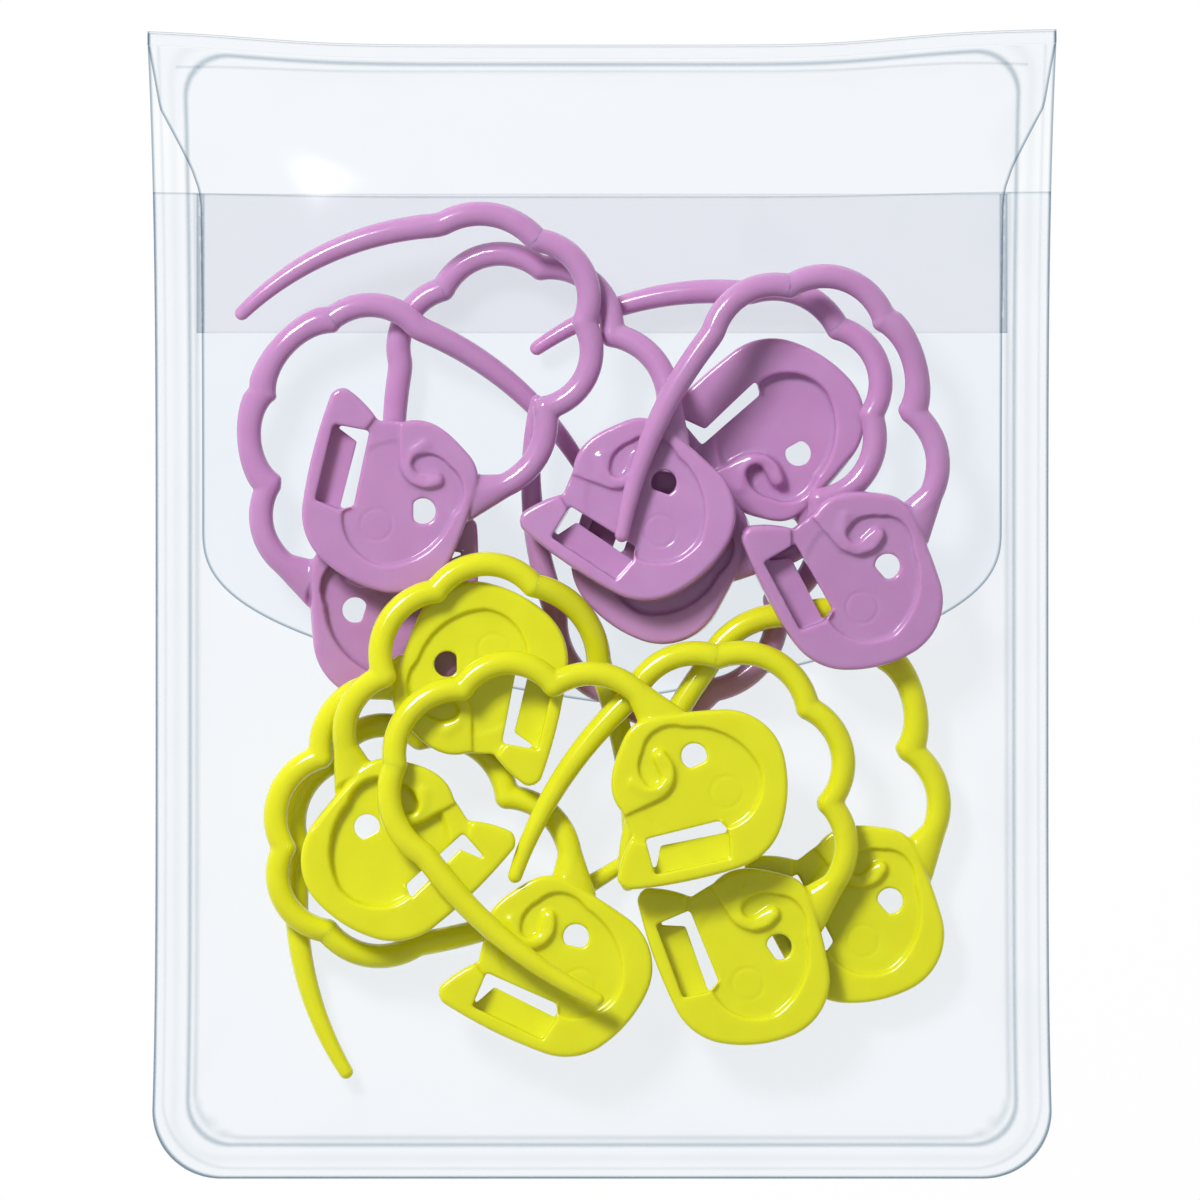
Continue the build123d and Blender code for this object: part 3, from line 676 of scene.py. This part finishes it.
# Carves a head's fine forms in its own directions, where X runs across, Y up and Z out of the face
def carveHead(mesh, name):
    middle, axes = headAxes(name)
    points = np.empty(len(mesh.vertices) * 3, np.float32)
    mesh.vertices.foreach_get("co", points)
    local = (points.reshape(-1, 3) / mm - middle) @ axes.T
    flat, side = local[:, :2] / marker["headRadius"], np.sign(local[:, 2])
    level = drawCurl(flat, sinkMoon(flat, np.abs(local[:, 2]), side))
    local[:, 2] = sinkLedge(flat, level * side)
    local[:, :2] = drawInBrow(roundSnout(flat)) * marker["headRadius"]
    carved = flattenBumps(local @ axes + middle, name)
    mesh.vertices.foreach_set("co", (carved * mm).astype(np.float32).ravel())
    mesh.update()


# A copy of the head's solid, merged, remeshed finely and relaxed, so that its edges are as soft
# as moulded ones, then carved
def makeHead(name, material):
    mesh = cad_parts[name + "_head"].data.copy()
    joined = bmesh.new()
    joined.from_mesh(mesh)
    bmesh.ops.remove_doubles(joined, verts=joined.verts, dist=marker["mergeMm"] * mm)
    joined.to_mesh(mesh)
    joined.free()
    rough = bpy.data.objects.new(name + "Rough", mesh)
    bpy.context.scene.collection.objects.link(rough)
    remesh = rough.modifiers.new("remesh", "REMESH")
    remesh.mode, remesh.voxel_size, remesh.use_smooth_shade = "VOXEL", marker["voxelMm"] * mm, True
    relax = rough.modifiers.new("relax", "SMOOTH")
    relax.factor, relax.iterations = marker["smoothShare"], marker["smoothing"]
    fine = bpy.data.meshes.new_from_object(rough.evaluated_get(bpy.context.evaluated_depsgraph_get()))
    bpy.data.objects.remove(rough)
    carveHead(fine, name)
    return addPiece(name + "Head", fine, material)


# Points of the circle's arc through three points: the centre by the cross product formula, then
# cosine and sine over even turns
def arcThrough(start, middle, end):
    a, b = start - middle, end - middle
    across = np.cross(a, b)
    centre = middle + np.cross(b * (a @ a) - a * (b @ b), across) / (2 * across @ across)
    along = start - centre
    radius = np.linalg.norm(along)
    out = np.cross(across, along)
    along, out = along / radius, out / np.linalg.norm(out)
    full = np.arctan2((end - centre) @ out, (end - centre) @ along)
    half = np.arctan2((middle - centre) @ out, (middle - centre) @ along)
    if half * full < 0 or abs(half) > abs(full):  # the arc goes the other way round
        full = full - np.sign(full) * 2 * np.pi
    turn = np.linspace(0, full, marker["arcSteps"])[:, None]
    return centre + radius * (np.cos(turn) * along + np.sin(turn) * out)


# The arc from one pinch to the next, bowed out by a share of the arm's width
def bowed(start, end, share, up):
    travel = end - start
    out = np.array([travel[1], -travel[0], 0]) / np.hypot(travel[0], travel[1])
    middle = (start + end) / 2 + out * share * marker["armWidth"] * (1 if up == "front" else -1)
    return arcThrough(start, middle, end)


# A round rod: circles square to the path, whose radius is given at each point, closed at its ends
def tube(name, path, radius, material):
    sides = marker["ringSides"]
    travel = np.gradient(path, axis=0)
    travel /= np.linalg.norm(travel, axis=1)[:, None]
    side = np.cross(travel, [0, 0, 1])
    side /= np.linalg.norm(side, axis=1)[:, None]
    over = np.cross(side, travel)
    turn = np.linspace(0, 2 * np.pi, sides, endpoint=False)
    ring = np.cos(turn)[None, :, None] * side[:, None] + np.sin(turn)[None, :, None] * over[:, None]
    points = (path[:, None] + ring * radius[:, None, None]).reshape(-1, 3)
    i, j = np.meshgrid(np.arange(len(path) - 1), np.arange(sides), indexing="ij")
    a, b = (i * sides + j).ravel(), (i * sides + (j + 1) % sides).ravel()
    piece = meshPiece(name, points, np.stack([a, b, b + sides, a + sides], 1), material)
    caps = bmesh.new()
    caps.from_mesh(piece.data)
    bmesh.ops.holes_fill(caps, edges=caps.edges, sides=0)
    bmesh.ops.recalc_face_normals(caps, faces=caps.faces)
    caps.to_mesh(piece.data)
    caps.free()
    piece.data.shade_smooth()
    return piece


# The last bump and the long tail: two arcs whose corner is rounded by averaging neighbours. The
# width shrinks by a power of the tail's run, and a cosine closes the tip.
def makeTail(name, material):
    up, pixels, heights = markers[name][2], markers[name][5], markers[name][6]
    start, middle, end = (spot(px, marker["floor"] + h * layer) for px, h in zip(pixels, heights))
    bump = bowed(start, middle, marker["tailBump"], up)
    tail = bowed(middle, end, marker["springyBow" if name in springy else "tailBow"], up)
    path = np.concatenate([bump[:-1], tail])
    for _ in range(marker["cornerRounds"]):
        path[1:-1] = (path[:-2] + 2 * path[1:-1] + path[2:]) / 4
    run = np.concatenate([[0], np.cumsum(np.linalg.norm(np.diff(path, axis=0), axis=1))])
    atPinch = run[len(bump) - 1]
    wide, narrow = marker["armWidth"] / 2, marker["tipWidth"] / 2
    radius = wide + (narrow - wide) * ((run - atPinch) / (run[-1] - atPinch)).clip(0, 1) ** marker["taper"]
    ahead = (path[-1] - path[-2]) / np.linalg.norm(path[-1] - path[-2])
    turn = np.linspace(0, marker["noseTurn"], marker["noseSteps"])[1:]
    path = np.concatenate([path, path[-1] + ahead * narrow * np.sin(turn)[:, None]])
    piece = tube(name + "Tail", path, np.concatenate([radius, narrow * np.cos(turn)]), material)
    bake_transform(piece)
    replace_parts(piece, name + "_tail")
    return piece


for name in markers:
    colour = name.split("_")[0]
    head = makeHead(name, plastics[colour])
    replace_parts(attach(head, "pouch"), name + "_head")
    for piece in (head, makeTail(name, plastics[colour])):
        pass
print("markers ready")


# Stage, light and camera
stage = {
    "floorSize": 1.2, "floorDrop": 0.05, "white": "FFFFFF", "glow": 0.88, "sky": "FAFDFE", "ambient": 0.36,
    "key": 6.1, "keySize": 0.19, "keyPlace": (-0.33, 0.42, 0.62), "cameraHeight": 400, "cameraEnd": 10,
}


# Tells whether a ray comes from the camera or through clear or shiny things
def seenDirectly(tree, outputs):
    rays = addNode(tree, "ShaderNodeLightPath").outputs
    seen = rays[outputs[0]]
    for output in outputs[1:]:
        seen = addNode(tree, "ShaderNodeMath", {"operation": "MAXIMUM"}, s0=seen, s1=rays[output]).outputs[0]
    return seen


# Pale sweep: matt white paper that keeps the shadow, lit to near white for what sees it directly
floorMaterial, tree = newMaterial("paleSweep")
seen = seenDirectly(tree, ("Is Camera Ray", "Is Glossy Ray", "Is Transmission Ray"))
share = addNode(tree, "ShaderNodeMath", {"operation": "MULTIPLY"}, s0=seen, s1=stage["glow"])
matt = addNode(tree, "ShaderNodeBsdfDiffuse", Color=linear(stage["white"]))
lit = addNode(tree, "ShaderNodeEmission", Color=linear(stage["white"]), Strength=1.0)
both = addNode(tree, "ShaderNodeMixShader", s0=share.outputs[0], s1=matt.outputs[0], s2=lit.outputs[0])
addNode(tree, "ShaderNodeOutputMaterial", Surface=both.outputs[0])

bpy.ops.mesh.primitive_plane_add(size=stage["floorSize"], location=(0, 0, -stage["floorDrop"] * mm))
floor = bpy.context.object
floor.name = "floor"
floor.data.materials.append(floorMaterial)
floor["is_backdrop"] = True

world = bpy.data.worlds.new("studio")
world.use_nodes = True
bpy.context.scene.world = world
tree = world.node_tree
tree.nodes.clear()
seen = seenDirectly(tree, ("Is Camera Ray", "Is Transmission Ray"))
strength = addNode(tree, "ShaderNodeMapRange", Value=seen, s3=stage["ambient"], s4=1.0)
sky = addNode(tree, "ShaderNodeBackground", Color=linear(stage["sky"]), Strength=strength.outputs[0])
addNode(tree, "ShaderNodeOutputWorld", Surface=sky.outputs[0])

lamp = bpy.data.lights.new("keySoftbox", "AREA")
lamp.size, lamp.energy = stage["keySize"], stage["key"]
softbox = bpy.data.objects.new("keySoftbox", lamp)
bpy.context.scene.collection.objects.link(softbox)
aim = np.array(stage["keyPlace"])
softbox.location = stage["keyPlace"]
softbox.rotation_euler = (np.arccos(aim[2] / np.linalg.norm(aim)), 0, np.arctan2(aim[0], -aim[1]))

bpy.context.scene.view_settings.view_transform = "Standard"
lens = bpy.data.cameras.new("aboveCamera")
lens.type = "ORTHO"
lens.ortho_scale = photo["size"] * mmPerPxX * mm
lens.clip_end = stage["cameraEnd"]
camera = bpy.data.objects.new("aboveCamera", lens)
bpy.context.scene.collection.objects.link(camera)
camera.location = tuple(spot((photo["size"] / 2, photo["size"] / 2), stage["cameraHeight"]) * mm)
bpy.context.scene.camera = camera
print("stage ready")

boxes = {"cad": cadBox, "visual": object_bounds()}
boxes = {name: [[float(value) for value in corner] for corner in box] for name, box in boxes.items()}
